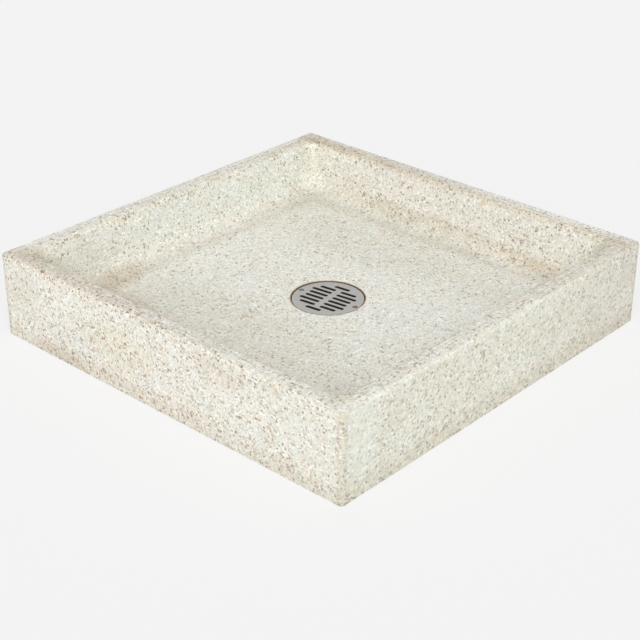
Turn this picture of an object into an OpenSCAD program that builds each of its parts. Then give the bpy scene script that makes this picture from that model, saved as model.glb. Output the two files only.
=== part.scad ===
// Square precast terrazzo mop service basin with a cast-in brass drain.
// Origin: middle of the underside. +Z is up. All sizes are in millimetres.

/* [Basin] */
// Outside length and width of the square basin
basin_w = 762; // [600:1:920]
// Outside height of the basin
basin_h = 152.4; // [130:0.1:310]
// Thickness of the curb at the rim
curb_t = 34; // [26:0.5:60]
// How much thicker the curb is where its inner face would meet the floor
curb_draft = 27; // [10:0.5:40]
// Radius of the inside corners, in plan, at the rim
well_corner_top = 28; // [15:1:60]
// Radius of the inside corners, in plan, at the floor
well_corner_foot = 46; // [30:1:80]
// Radius of the cove between the curb and the floor
cove_r = 32; // [15:1:40]
// Radius that eases both edges of the rim
rim_edge_r = 6; // [2:0.5:8]
// Radius of the four upright outside corners
outer_corner_r = 7; // [3:0.5:20]
// Thickness of the floor at the drain
floor_t = 56.2; // [54:0.1:90]
// Fall of the floor from the cove to the drain
floor_fall = 4; // [1:0.5:10]
// Flat land round the drain's rim
drain_land = 1.5; // [0.5:0.1:5]

/* [Drain place] */
// Drain centre from the basin's middle, along X
drain_x = 5; // [-30:0.5:30]
// Drain centre from the basin's middle, along Y
drain_y = -6; // [-30:0.5:30]
// Turn of the drain and its strainer about the upright axis, in degrees
drain_turn = 7.5; // [-45:0.5:45]

/* [Waste pipe joint] */
// Outside diameter of the waste pipe
pipe_d = 88.9; // [76.1:0.1:114.3]
// Radial room round the pipe in the metal parts
pipe_room = 1; // [0.5:0.1:2]
// Radial thickness of the gasket
gasket_wall = 4.4; // [3:0.1:8]
// Height of the gasket
gasket_h = 20; // [12:0.5:22]
// Chamfer of the gasket's outer edges
gasket_chamfer = 0.9; // [0.3:0.1:1.5]
// Radial gap between the gasket and its chamber
gasket_fit = 0.05; // [0.01:0.01:0.1]
// Height of the compression ring
ring_nut_h = 9; // [5:0.5:10]
// Radial step from the gasket chamber out to the ring's thread
thread_step = 0.4; // [0.2:0.1:1]
// Radial running fit of the compression ring in the body
thread_fit = 0.05; // [0.02:0.01:0.1]
// Number of tool notches in the compression ring
notch_count = 4; // [2:1:8]
// Width of each tool notch
notch_w = 8; // [4:0.5:12]
// Depth of each tool notch
notch_depth = 3.5; // [2:0.5:4.5]

/* [Drain body] */
// Height of the lip under the gasket
lip_h = 7; // [4:0.5:8]
// Wall of the pipe socket
socket_wall = 4.5; // [3:0.5:8]
// Wall round the strainer's recess, seen from above
recess_wall = 1.4; // [1:0.1:4]
// Height of the wide cup at the top of the body
cup_h = 20; // [18:0.5:24]
// Height of the sump's floor above the foot of the cup
sump_floor = 0.5; // [0.5:0.5:3]
// Slope of the flare between the socket and the cup, as rise over run
flare_slope = 0.7; // [0.5:0.1:1]
// Width of the ledge that carries the strainer
ledge_w = 5; // [3:0.5:8]
// How far the anchor flange stands out of the socket
anchor_reach = 20; // [10:1:30]
// Thickness of the anchor flange
anchor_t = 4; // [3:0.5:5]
// Height of the anchor flange above the underside
anchor_z = 14; // [8:0.5:14]
// Number of notches that key the anchor flange in the terrazzo
anchor_notches = 4; // [2:1:8]
// Radius of each anchor notch
anchor_notch_r = 8; // [4:0.5:9]
// Gap all round between cast-in metal and terrazzo
bond_gap = 0.05; // [0.02:0.01:0.2]

/* [Strainer] */
// Thickness of the strainer plate
strainer_t = 4; // [3:0.1:5]
// How far the plate's top lies below the drain's rim
strainer_drop = 1.3; // [0.2:0.1:3]
// Radial gap between the plate and its recess
strainer_gap = 1.8; // [0.3:0.1:3]
// Plate outside the screw circle
strainer_margin = 6.3; // [6:0.1:10]
// Bevel round the plate's top edge
strainer_bevel = 0.5; // [0.2:0.1:1]
// Rows of paired slots on each side of the middle
slot_rows = 3; // [1:1:3]
// Spacing of the slot rows
slot_pitch = 12.6; // [9:0.1:13]
// Width of a slot
slot_w = 5.8; // [4.5:0.1:7]
// Plain metal between the slots' outer ends and the plate's edge
slot_land = 12.6; // [10:0.1:18]
// Plain metal between the middle slots and the screw lugs
slot_lug_land = 8; // [4:0.5:15]
// Length of the lone slot at each end
slot_l_end = 30.8; // [15:0.1:32]
// Width of the plain bar across the middle
slot_bar = 10.7; // [6:0.1:14]

/* [Screws] */
// Diameter of the strainer screws
screw_d = 5; // [4:0.1:6]
// Diameter of a screw's countersunk head
screw_head_d = 9.6; // [8.5:0.1:11]
// Length of a screw, over its head
screw_l = 12; // [9:0.5:13]
// Metal round a screw in its lug
lug_wall = 3.25; // [2:0.05:5]
// Radial gap between a screw and its tapped hole
screw_fit = 0.05; // [0.02:0.01:0.1]
// Radial gap between a screw and the plate
screw_room = 0.3; // [0.1:0.05:0.5]
// Depth of a screw's tapped hole below its tip
screw_run = 1; // [0.5:0.5:2]
// Width of the driver slot
driver_w = 1.3; // [0.8:0.1:2]
// Depth of the driver slot
driver_depth = 1.2; // [0.6:0.1:1.5]
// Turn of the driver slot from the line to the drain's centre, in degrees
driver_turn = 35; // [0:5:90]

/* [Reinforcement] */
// Diameter of the mesh wires and of the hoop rod
wire_d = 4; // [3:0.5:6]
// Spacing of the mesh wires
mesh_pitch = 101.6; // [75:0.1:150]
// Height of the mesh above the underside
mesh_z = 27; // [20:1:30]
// Terrazzo between the turned-up wires and the outside faces
side_cover = 18; // [15:1:20]
// Terrazzo between the hoop and the rim
top_cover = 35; // [25:1:45]
// Room between the mesh and the drain body
mesh_room = 10; // [5:1:20]
// How deep crossing wires are welded into each other
weld_bite = 0.5; // [0.2:0.1:1]
// Inside radius of the hoop's bends
hoop_bend = 18; // [10:1:30]

/* [Hidden] */
$fn = 96;
hull_fn = 32; // segments of a circle inside a hull
skin = 0.01;  // thickness of a hull's slices
over = 1;     // how far a cutter runs past a face
wire_sides = 8;

// Well of the basin
outer_half = basin_w / 2;
well_half = outer_half - curb_t;
foot_half = well_half - curb_draft;
foot_z = floor_t + floor_fall;
draft = atan(curb_draft / (basin_h - foot_z));
cove_run = cove_r * tan((90 - draft) / 2);
cove_steps = 6;
mouth_steps = 3;

// Waste joint, from the pipe outwards
pipe_r = pipe_d / 2;
lip_r = pipe_r + pipe_room;
gasket_r = pipe_r + gasket_wall;
chamber_r = gasket_r + gasket_fit;
ring_nut_r = chamber_r + thread_step;
thread_r = ring_nut_r + thread_fit;
gasket_top = lip_h + gasket_h;

// Strainer and screws, from the ring's thread outwards
lug_r = screw_d / 2 + lug_wall;
screw_circle_r = thread_r + thread_step + lug_r;
strainer_r = screw_circle_r + strainer_margin;
recess_r = strainer_r + strainer_gap;
rim_r = recess_r + recess_wall;
strainer_top = floor_t - strainer_drop;
ledge_z = strainer_top - strainer_t;
sump_r = recess_r - ledge_w;
slot_circle_r = strainer_r - slot_land;
head_h = (screw_head_d - screw_d) / 2;
screw_tip = strainer_top - screw_l;
screw_angles = [90, 270];

// Outside of the drain body
socket_r = thread_r + socket_wall;
cup_z = floor_t - cup_h;
flare_z = cup_z - (rim_r - socket_r) * flare_slope;
sump_z = cup_z + sump_floor;
anchor_r = socket_r + anchor_reach;

// Reinforcement
wire_r = wire_d / 2;
cage_half = outer_half - side_cover - wire_r;
hoop_half = cage_half - wire_d + weld_bite;
hoop_z = basin_h - top_cover;
cross_z = mesh_z + wire_d - weld_bite;
wire_count = floor((cage_half - side_cover) / mesh_pitch);

// ---------- shared shapes ----------

// A square of half-width h with corners of radius r
module round_square(h, r, fn = $fn) {
    square([2 * h, 2 * (h - r)], center = true);
    square([2 * (h - r), 2 * h], center = true);
    for (x = [-1, 1], y = [-1, 1])
        translate([x * (h - r), y * (h - r)]) circle(r, $fn = fn);
}

// A thin slice of the well, for use inside a hull
module well_slice(z, h, r) {
    translate([0, 0, z]) linear_extrude(skin) round_square(h, r, hull_fn);
}

// Stands its children at the drain, turned as the drain is
module at_drain(z = 0) {
    translate([drain_x, drain_y, z]) rotate([0, 0, drain_turn]) children();
}

// Plan radius of the well's corners at height z
function well_corner(z) =
    well_corner_foot + (well_corner_top - well_corner_foot) * (z - foot_z) / (basin_h - foot_z);

// Half-width of the well's drafted wall at height z
function well_wall(z) = foot_half + curb_draft * (z - foot_z) / (basin_h - foot_z);

// ---------- basin ----------

// Side view of the block: upright sides and eased top edges
module block_profile() {
    square_top = basin_h - rim_edge_r;
    translate([-outer_half, 0]) square([basin_w, square_top]);
    translate([rim_edge_r - outer_half, 0]) square([basin_w - 2 * rim_edge_r, basin_h]);
    for (x = [-1, 1])
        translate([x * (outer_half - rim_edge_r), square_top]) circle(rim_edge_r);
}

module block() {
    intersection() {
        linear_extrude(basin_h) round_square(outer_half, outer_corner_r);
        rotate([90, 0, 0]) linear_extrude(basin_w + 2 * over, center = true) block_profile();
        rotate([90, 0, 90]) linear_extrude(basin_w + 2 * over, center = true) block_profile();
    }
}

// Drafted walls, cove and falling floor, in one convex shape
module well() {
    start = 90 - draft;
    hull() {
        well_slice(basin_h + over, well_wall(basin_h + over), well_corner(basin_h + over));
        for (i = [0:cove_steps]) {
            a = start * i / cove_steps;
            z = foot_z + cove_r * (1 - sin(draft + a));
            h = foot_half - cove_run + cove_r * cos(draft + a);
            well_slice(z, h, well_corner(z));
        }
        at_drain(floor_t) cylinder(r = rim_r + drain_land, h = skin, $fn = hull_fn);
    }
}

// Height and outward growth of the rim's eased inner edge, a degrees round it
function mouth_z(a) = basin_h - rim_edge_r * (1 - sin(a));
function mouth_grow(a) = rim_edge_r * (1 - cos(a));

// Eased inner edge of the rim, as a ring of short chamfers that run past each other
module well_mouth() {
    step = 90 / mouth_steps;
    for (i = [1:mouth_steps])
        hull()
            for (t = [-0.5, 1.5])
                mouth_slice((i - 1) * step, i * step, t);
}

// Slice of the mouth on the line from angle a, at t = 0, to angle b, at t = 1
module mouth_slice(a, b, t) {
    z = mouth_z(a) + t * (mouth_z(b) - mouth_z(a));
    grow = mouth_grow(a) + t * (mouth_grow(b) - mouth_grow(a));
    well_slice(z, well_wall(z) + grow, well_corner(z) + grow);
}

// Outside of the drain body, grown by a gap
module drain_outside(gap = 0) {
    difference() {
        rotate_extrude() polygon([
            [0, -over],
            [socket_r + gap, -over],
            [socket_r + gap, anchor_z - gap],
            [anchor_r + gap, anchor_z - gap],
            [anchor_r + gap, anchor_z + anchor_t + gap],
            [socket_r + gap, anchor_z + anchor_t + gap],
            [socket_r + gap, flare_z - gap],
            [rim_r + gap, cup_z - gap],
            [rim_r + gap, floor_t + over],
            [0, floor_t + over]
        ]);
        for (i = [0:anchor_notches - 1])
            rotate([0, 0, 360 * (i + 0.5) / anchor_notches])
                translate([anchor_r, 0, anchor_z - over])
                    cylinder(r = anchor_notch_r - gap, h = anchor_t + 2 * over);
    }
}

module terrazzo_basin() {
    color("#d9d6c9")
    difference() {
        block();
        well();
        well_mouth();
        at_drain() drain_outside(bond_gap);
    }
}

// ---------- reinforcement ----------

// A straight wire of length l along X
module wire(l) {
    rotate([0, 90, 0]) cylinder(r = wire_r, h = l, center = true, $fn = wire_sides);
}

// One mesh wire along X with both ends turned up into the curb
module turned_wire(y, z) {
    translate([0, y, z]) wire(2 * cage_half);
    for (x = [-1, 1])
        translate([x * cage_half, y, z - wire_r])
            cylinder(r = wire_r, h = hoop_z + wire_d - z + wire_r, $fn = wire_sides);
}

module reinforcing_mesh() {
    color("#8f979c")
    difference() {
        for (i = [-wire_count:wire_count]) {
            turned_wire(i * mesh_pitch, mesh_z);
            rotate([0, 0, 90]) turned_wire(i * mesh_pitch, cross_z);
        }
        at_drain(-over) cylinder(r = anchor_r + mesh_room, h = floor_t);
    }
}

module curb_hoop() {
    bend = hoop_bend + wire_r;
    straight = 2 * (hoop_half - bend);
    color("#7f878c")
    translate([0, 0, hoop_z])
        for (i = [0:3])
            rotate([0, 0, 90 * i]) {
                translate([0, hoop_half, 0]) wire(straight);
                translate([hoop_half - bend, hoop_half - bend, 0])
                    rotate_extrude(angle = 90)
                        translate([bend, 0]) circle(wire_r, $fn = wire_sides);
            }
}

// ---------- drain ----------

module drain_body() {
    color("#8a6a3c")
    at_drain()
        difference() {
            intersection() {
                drain_outside();
                cylinder(r = anchor_r + over, h = floor_t);
            }
            drain_bores();
        }
}

// Everything that is hollow in the drain body
module drain_bores() {
    translate([0, 0, -over]) cylinder(r = lip_r, h = floor_t);
    translate([0, 0, lip_h]) cylinder(r = chamber_r, h = floor_t);
    translate([0, 0, gasket_top]) cylinder(r = thread_r, h = floor_t);
    translate([0, 0, ledge_z]) cylinder(r = recess_r, h = floor_t);
    difference() {
        translate([0, 0, sump_z]) cylinder(r = sump_r, h = floor_t);
        for (a = screw_angles)
            rotate([0, 0, a]) screw_lug();
    }
    for (a = screw_angles)
        rotate([0, 0, a]) translate([screw_circle_r, 0, screw_tip - screw_run])
            cylinder(r = screw_d / 2 + screw_fit, h = floor_t);
}

// Round lug joined to the sump's wall, up to the strainer's ledge
module screw_lug() {
    translate([screw_circle_r, 0, 0]) cylinder(r = lug_r, h = ledge_z);
    translate([screw_circle_r, -lug_r, 0]) cube([lug_r + over, 2 * lug_r, ledge_z]);
}

module pipe_gasket() {
    color("#26282a")
    at_drain(lip_h)
        rotate_extrude() polygon([
            [pipe_r, 0],
            [gasket_r - gasket_chamfer, 0],
            [gasket_r, gasket_chamfer],
            [gasket_r, gasket_h - gasket_chamfer],
            [gasket_r - gasket_chamfer, gasket_h],
            [pipe_r, gasket_h]
        ]);
}

module compression_ring() {
    color("#b08d4f")
    at_drain(gasket_top)
        difference() {
            cylinder(r = ring_nut_r, h = ring_nut_h);
            translate([0, 0, -over]) cylinder(r = lip_r, h = ring_nut_h + 2 * over);
            for (i = [0:notch_count - 1])
                rotate([0, 0, 360 * i / notch_count])
                    translate([lip_r - over, -notch_w / 2, ring_nut_h - notch_depth])
                        cube([ring_nut_r, notch_w, ring_nut_h]);
        }
}

// ---------- strainer ----------

// A round-ended slot along Y, from y0 to y0 + l
module slot(x, y0, l) {
    r = slot_w / 2;
    translate([x, y0 + r, -over]) {
        for (y = [0, l - slot_w])
            translate([0, y, 0]) cylinder(r = r, h = strainer_t + 2 * over);
        translate([-r, 0, 0]) cube([slot_w, l - slot_w, strainer_t + 2 * over]);
    }
}

// How far from the middle bar's axis a slot at x ends: the slots end on a circle,
// but those beside the screws stop short of the lugs
function slot_reach(x, beside_screw) =
    beside_screw
        ? screw_circle_r - lug_r - slot_lug_land
        : sqrt(pow(slot_circle_r - slot_w / 2, 2) - x * x) + slot_w / 2;

module strainer_slots() {
    for (side = [-1, 1]) {
        for (i = [0:slot_rows - 1], turn = [0, 180])
            rotate([0, 0, turn]) {
                x = (i + 0.5) * slot_pitch;
                slot(side * x, slot_bar / 2, slot_reach(x, i == 0) - slot_bar / 2);
            }
        slot(side * (slot_rows + 0.5) * slot_pitch, -slot_l_end / 2, slot_l_end);
    }
}

module strainer() {
    sink_r = screw_head_d / 2 + screw_fit;
    color("#b4b6b8")
    at_drain(ledge_z)
        difference() {
            union() {
                cylinder(r = strainer_r, h = strainer_t - strainer_bevel);
                translate([0, 0, strainer_t - strainer_bevel])
                    cylinder(r1 = strainer_r, r2 = strainer_r - strainer_bevel, h = strainer_bevel);
            }
            strainer_slots();
            for (a = screw_angles)
                rotate([0, 0, a]) translate([screw_circle_r, 0, 0]) {
                    translate([0, 0, -over])
                        cylinder(r = screw_d / 2 + screw_room, h = strainer_t + 2 * over);
                    translate([0, 0, strainer_t - sink_r])
                        cylinder(r1 = 0, r2 = sink_r + over, h = sink_r + over);
                }
        }
}

module strainer_screw(angle) {
    color("#9b9a98")
    at_drain(screw_tip)
        rotate([0, 0, angle]) translate([screw_circle_r, 0, 0])
            difference() {
                union() {
                    cylinder(r = screw_d / 2, h = screw_l - head_h);
                    translate([0, 0, screw_l - head_h])
                        cylinder(r1 = screw_d / 2, r2 = screw_head_d / 2, h = head_h);
                }
                rotate([0, 0, driver_turn]) translate([0, 0, screw_l])
                    cube([screw_head_d + over, driver_w, 2 * driver_depth], center = true);
            }
}

module strainer_screw_left() {
    strainer_screw(screw_angles[0]);
}

module strainer_screw_right() {
    strainer_screw(screw_angles[1]);
}

terrazzo_basin();
reinforcing_mesh();
curb_hoop();
drain_body();
pipe_gasket();
compression_ring();
strainer();
strainer_screw_left();
strainer_screw_right();
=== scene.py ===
import math

import bmesh
import bpy
from mathutils import Matrix, Vector


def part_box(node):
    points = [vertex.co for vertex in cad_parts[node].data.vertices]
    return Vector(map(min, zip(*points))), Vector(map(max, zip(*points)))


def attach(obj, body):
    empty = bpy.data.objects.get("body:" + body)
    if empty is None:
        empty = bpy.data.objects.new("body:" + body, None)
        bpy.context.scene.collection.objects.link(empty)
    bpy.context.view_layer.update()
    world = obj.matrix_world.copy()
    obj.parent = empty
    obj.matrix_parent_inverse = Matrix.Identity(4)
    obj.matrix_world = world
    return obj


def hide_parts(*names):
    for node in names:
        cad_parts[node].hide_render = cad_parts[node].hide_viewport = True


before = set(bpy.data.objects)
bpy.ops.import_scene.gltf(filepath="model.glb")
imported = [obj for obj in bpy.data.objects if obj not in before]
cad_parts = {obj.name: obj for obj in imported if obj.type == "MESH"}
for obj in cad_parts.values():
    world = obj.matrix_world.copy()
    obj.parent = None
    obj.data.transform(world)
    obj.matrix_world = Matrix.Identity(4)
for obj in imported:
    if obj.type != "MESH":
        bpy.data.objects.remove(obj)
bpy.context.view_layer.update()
print("frame loaded:", ", ".join(sorted(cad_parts)))

mm = 0.001  # sizes below are in millimetres unless a note says otherwise
rightAngle = math.pi / 2


view = {
    "lens": 83.287,
    "sensor": 36,
    "azimuth": -47.706,  # degrees round the basin; 0 looks along +Y
    "elevation": 28.1265,
    "roll": 0.128,
    "distance": 2558.6,  # from the middle of the underside
    "right": 5.66,  # that middle lies this far right of the picture's middle
    "up": -11.0,
}


def addObject(name, data):
    thing = bpy.data.objects.new(name, data)
    bpy.context.scene.collection.objects.link(thing)
    return thing


def addCamera(name, view):
    azimuth, elevation, roll = (math.radians(view[key]) for key in ("azimuth", "elevation", "roll"))
    flat = math.cos(elevation)
    back = Vector((math.sin(azimuth) * flat, -math.cos(azimuth) * flat, math.sin(elevation)))
    level = Vector((math.cos(azimuth), math.sin(azimuth), 0))
    upright = back.cross(level)
    right = math.cos(roll) * level + math.sin(roll) * upright
    up = math.cos(roll) * upright - math.sin(roll) * level
    lens = bpy.data.cameras.new(name)
    lens.sensor_width = view["sensor"]
    lens.lens = view["lens"]
    camera = addObject(name, lens)
    where = (back * view["distance"] - right * view["right"] - up * view["up"]) * mm
    turned = Matrix((right, up, back)).transposed().to_4x4()
    camera.matrix_world = Matrix.Translation(where) @ turned
    bpy.context.scene.camera = camera


addCamera("camera", view)
print("camera set")


def feed(tree, socket, value):
    if isinstance(value, bpy.types.NodeSocket):
        tree.links.new(value, socket)
    else:
        socket.default_value = value


def addNode(tree, kind, inputs=None, **settings):
    node = tree.nodes.new(kind)
    for name, value in settings.items():
        setattr(node, name, value)
    for name, value in (inputs or {}).items():
        feed(tree, node.inputs[name], value)
    return node


def calc(tree, operation, *values):
    node = addNode(tree, "ShaderNodeMath", operation=operation)
    for socket, value in zip(node.inputs, values):
        feed(tree, socket, value)
    return node.outputs["Value"]


def times(tree, value, factor, *extra):
    # value times factor, plus extra where it is given
    return calc(tree, "MULTIPLY_ADD" if extra else "MULTIPLY", value, factor, *extra)


def vectorCalc(tree, operation, *values):
    node = addNode(tree, "ShaderNodeVectorMath", operation=operation)
    for socket, value in zip(node.inputs, values):
        feed(tree, socket, value)
    return node.outputs["Value" if operation == "LENGTH" else "Vector"]


def scaled(tree, vector, factor):
    values = {"Vector": vector, "Scale": factor}
    return addNode(tree, "ShaderNodeVectorMath", values, operation="SCALE").outputs["Vector"]


def mixVectors(tree, share, first, second):
    kept = scaled(tree, first, calc(tree, "SUBTRACT", 1.0, share))
    return vectorCalc(tree, "ADD", kept, scaled(tree, second, share))


def combine(tree, x, y, z):
    return addNode(tree, "ShaderNodeCombineXYZ", {"X": x, "Y": y, "Z": z}).outputs["Vector"]


def separate(tree, vector):
    node = addNode(tree, "ShaderNodeSeparateXYZ", {"Vector": vector})
    return node.outputs["X"], node.outputs["Y"], node.outputs["Z"]


def fade(tree, value, start, end):
    # 0 at start, 1 at end, smooth between them
    span = {"Value": value, "From Min": start, "From Max": end}
    return addNode(tree, "ShaderNodeMapRange", span, interpolation_type="SMOOTHSTEP").outputs["Result"]


def noise(tree, point, size, detail=2.0, roughness=0.5, output="Fac"):
    values = {"Vector": point, "Scale": 1 / size, "Detail": detail, "Roughness": roughness}
    return addNode(tree, "ShaderNodeTexNoise", values).outputs[output]


def patches(tree, point, size, span, detail=3.0, roughness=0.5):
    # noise made into patches: 0 between them, 1 on them, with edges as soft as the span is wide
    return fade(tree, noise(tree, point, size, detail, roughness), *span)


def newTree(name, **inputs):
    # takes a geometry, a material, and the inputs named for each kind of socket
    tree = bpy.data.node_groups.new(name, "GeometryNodeTree")
    for kind, labels in {"Geometry": ["Geometry"], **inputs, "Material": ["Material"]}.items():
        for label in labels:
            tree.interface.new_socket(label, in_out="INPUT", socket_type="NodeSocket" + kind)
    tree.interface.new_socket("Geometry", in_out="OUTPUT", socket_type="NodeSocketGeometry")
    return tree, tree.nodes.new("NodeGroupInput").outputs


def endTree(tree, given, geometry):
    real = addNode(tree, "GeometryNodeRealizeInstances", {"Geometry": geometry})
    dressed = {"Geometry": real.outputs["Geometry"], "Material": given["Material"]}
    done = addNode(tree, "GeometryNodeSetMaterial", dressed)
    addNode(tree, "NodeGroupOutput", {"Geometry": done.outputs["Geometry"]})
    return tree


def named(tree, name, kind="FLOAT"):
    node = addNode(tree, "GeometryNodeInputNamedAttribute", {"Name": name}, data_type=kind)
    return node.outputs["Attribute"]


def store(tree, geometry, name, value, kind="FLOAT"):
    values = {"Geometry": geometry, "Name": name, "Value": value}
    return addNode(tree, "GeometryNodeStoreNamedAttribute", values, data_type=kind).outputs["Geometry"]


def moved(tree, geometry, **change):
    # geometry whose points take a new Position, or shift by an Offset
    values = {"Geometry": geometry, **change}
    return addNode(tree, "GeometryNodeSetPosition", values).outputs["Geometry"]


def sweep(tree, loop, section):
    # carries a section along a loop, both given as lines of mesh
    path = addNode(tree, "GeometryNodeMeshToCurve", {"Mesh": loop}).outputs["Curve"]
    profile = addNode(tree, "GeometryNodeMeshToCurve", {"Mesh": section}).outputs["Curve"]
    values = {"Curve": path, "Profile Curve": profile}
    return addNode(tree, "GeometryNodeCurveToMesh", values).outputs["Mesh"]


def heading(tree, angle, length):
    x, y = (times(tree, calc(tree, way, angle), length) for way in ("COSINE", "SINE"))
    return combine(tree, x, y, 0.0)


def addLayer(mesh, name, values):
    mesh.attributes.new(name, "FLOAT", "POINT").data.foreach_set("value", values)


def outlineMesh(name, rows, columns, closed):
    # a line of vertices whose columns are kept as attributes; the first two columns also place them
    mesh = bpy.data.meshes.new(name)
    count = len(rows)
    edges = [(i, (i + 1) % count) for i in range(count if closed else count - 1)]
    mesh.from_pydata([(row[0] * mm, 0, row[1] * mm) for row in rows], edges, [])
    for label, values in zip(columns, zip(*rows)):
        addLayer(mesh, label, values)
    return mesh


# what the trees below keep on their points while a piece grows
growthLayers = ("half", "height", "corner", "hole", "round", "turned", "level", "thread", "angle",
                "ringCore", "ringNormal", "reach", "screwHole", "slotSide")


def settled(mesh, sharpAngle=40):
    # welds seams and poles, turns faces outwards and shades smooth up to an angle in degrees; faces
    # of many sides are the flat ends of round things, and stay flat
    manySides = 9
    shape = bmesh.new()
    shape.from_mesh(mesh)
    bmesh.ops.remove_doubles(shape, verts=shape.verts, dist=0.002 * mm)
    bmesh.ops.recalc_face_normals(shape, faces=shape.faces)
    for face in shape.faces:
        face.smooth = len(face.verts) < manySides
    for edge in shape.edges:
        edge.smooth = edge.is_manifold and edge.calc_face_angle(0) < math.radians(sharpAngle)
    shape.to_mesh(mesh)
    shape.free()
    for name in growthLayers:
        if name in mesh.attributes:
            mesh.attributes.remove(mesh.attributes[name])


def shapedMesh(piece):
    # the mesh that a piece's modifiers make of it
    graph = bpy.context.evaluated_depsgraph_get()
    return bpy.data.meshes.new_from_object(piece.evaluated_get(graph), depsgraph=graph)


def growPiece(name, mesh, tree, values, sharpAngle=40):
    source = addObject(name + "Outline", mesh)
    modifier = source.modifiers.new("grow", "NODES")
    modifier.node_group = tree
    for item in tree.interface.items_tree:
        if item.in_out == "INPUT" and item.name in values:
            modifier[item.identifier] = values[item.name]
    grown = shapedMesh(source)
    bpy.data.objects.remove(source)
    settled(grown, sharpAngle)
    grown.name = name
    print("made", name, len(grown.vertices), "vertices")
    return addObject(name, grown)


def easedEdges(piece, width, steps=2, angle=35):
    bevel = piece.modifiers.new("eased", "BEVEL")
    bevel.width = width * mm
    bevel.segments = steps
    bevel.limit_method = "ANGLE"
    bevel.angle_limit = math.radians(angle)
    eased = shapedMesh(piece)
    piece.modifiers.remove(bevel)
    piece.data = eased
    settled(eased)


def paint(red, green, blue):
    # a colour written as it looks on screen, 0 to 255, in the linear values that nodes take
    def linear(value):
        value /= 255
        return value / 12.92 if value <= 0.04045 else ((value + 0.055) / 1.055) ** 2.4
    return (linear(red), linear(green), linear(blue), 1.0)


def newMaterial(name):
    # the material, its tree and shader, and the place on the piece in millimetres
    material = bpy.data.materials.new(name)
    material.use_nodes = True
    tree = material.node_tree
    place = addNode(tree, "ShaderNodeTexCoord").outputs["Object"]
    return material, tree, tree.nodes["Principled BSDF"], scaled(tree, place, 1 / mm)


def blend(tree, amount, below, above, way="MIX"):
    # below and above are sockets, or colours as paint takes them
    node = addNode(tree, "ShaderNodeMix", {"Factor": amount}, data_type="RGBA", blend_type=way)
    for socket, colour in ((node.inputs[6], below), (node.inputs[7], above)):
        feed(tree, socket, paint(*colour) if isinstance(colour, tuple) else colour)
    return node.outputs[2]


def between(tree, amount, first, second):
    node = addNode(tree, "ShaderNodeMix", {"Factor": amount}, data_type="FLOAT")
    feed(tree, node.inputs[2], first)
    feed(tree, node.inputs[3], second)
    return node.outputs["Result"]


def ramp(tree, value, stops):
    node = addNode(tree, "ShaderNodeValToRGB", {"Fac": value})
    scale = node.color_ramp
    while len(scale.elements) < len(stops):
        scale.elements.new(0.5)
    for element, (position, colour) in zip(scale.elements, stops):
        element.position = position
        element.color = paint(*colour)
    return node.outputs["Color"]


def coat(tree, shader, colour, rough):
    feed(tree, shader.inputs["Base Color"], colour)
    feed(tree, shader.inputs["Roughness"], rough)


def relief(tree, shader, height, depth, strength=1.0):
    values = {"Height": height, "Distance": depth * mm, "Strength": strength}
    tree.links.new(addNode(tree, "ShaderNodeBump", values).outputs["Normal"], shader.inputs["Normal"])


terrazzo = {
    "smallChip": 2.6,  # across a chip of the fine mix
    "largeChip": 4.2,  # between the seeds of the coarse chips
    "largeShare": 0.45,  # of coarse seeds that carry a chip
    "largeShift": (17.3, 41.9, 8.7),  # takes the coarse chips off the fine ones' pattern
    "joint": 0.35,  # width of cement between chips
    "ragged": 1.1,  # how far chip outlines stray
    "raggedSize": 3.0,
    "cement": (231, 229, 219),
    "tones": (  # of the chips, dark to light
        (0.0, (167, 155, 138)), (0.12, (187, 177, 162)), (0.26, (208, 201, 188)),
        (0.40, (226, 222, 211)), (0.55, (238, 236, 225)), (0.75, (249, 248, 239)),
        (1.0, (255, 255, 250))),
    "warmTones": (  # the same where stain has turned them brown
        (0.0, (153, 129, 107)), (0.13, (183, 160, 137)), (0.20, (188, 176, 160)),
        (0.28, (210, 193, 171)), (0.40, (227, 219, 206)), (0.55, (241, 238, 228)),
        (0.75, (252, 251, 243)), (1.0, (255, 255, 252))),
    "cloudSize": 45.0,  # of lighter and darker areas
    "cloudShare": 0.3,
    "casts": ((249, 256, 256), (258, 253, 253)),  # the two hues that single chips lean to
    "castPatches": {"size": 7.0, "detail": 1.0, "span": (0.3, 0.7)},  # chips that lean together
    "castPatchShare": 0.25,
    "average": (234, 233, 223),  # what rubbed areas fade towards
    "warmth": (255, 252, 248),  # of the warm patches
    "warmPatches": {"size": 22.0, "span": (0.42, 0.7)},
    "stainAndShadePatches": {"size": 26.0, "roughness": 0.6, "span": (0.3, 0.65)},  # break up what is "patchy"
    "streak": (232, 228, 224),  # grinding marks along the rim
    "streakPatches": {"size": 2.6, "roughness": 0.6, "span": (0.45, 0.7)},
    "streakSqueeze": 0.05,  # drawn out to a twentieth of the pattern's pace along the rim
    "streakLevels": (147.0, 151.0),
    "pinholeSize": 13.0,  # between the seeds of pinholes
    "pinholeRadius": (0.15, 0.5),
    "pinholeShare": 0.45,  # of seeds that carry one
    "pinholeTone": (110, 96, 82),
    "pinholeDark": 0.6,
    "roughness": (0.42, 0.6),  # of chips and of cement
    "grainSize": 0.5,
    "grainHeight": 0.15,
    "chipHeight": 0.25,
    "pinholeHeight": -1.0,
    "reliefDepth": 0.25,
    "reliefStrength": 0.5,
}
drainStain = {"from": 64.0, "to": 67.4, "tint": (222, 204, 184)}  # radii round the drain's middle


def area(at, reach, tint, **change):
    # where a tint changes the mix: some areas are stain or grinding, others are painted shade and painted
    # light; more brings out dark chips, warm turns them brown, coarse changes the share of coarse ones,
    # rubbed softens the mix, and patchy breaks the change up
    return {"at": at, "reach": reach, "tint": tint, **change}


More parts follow.
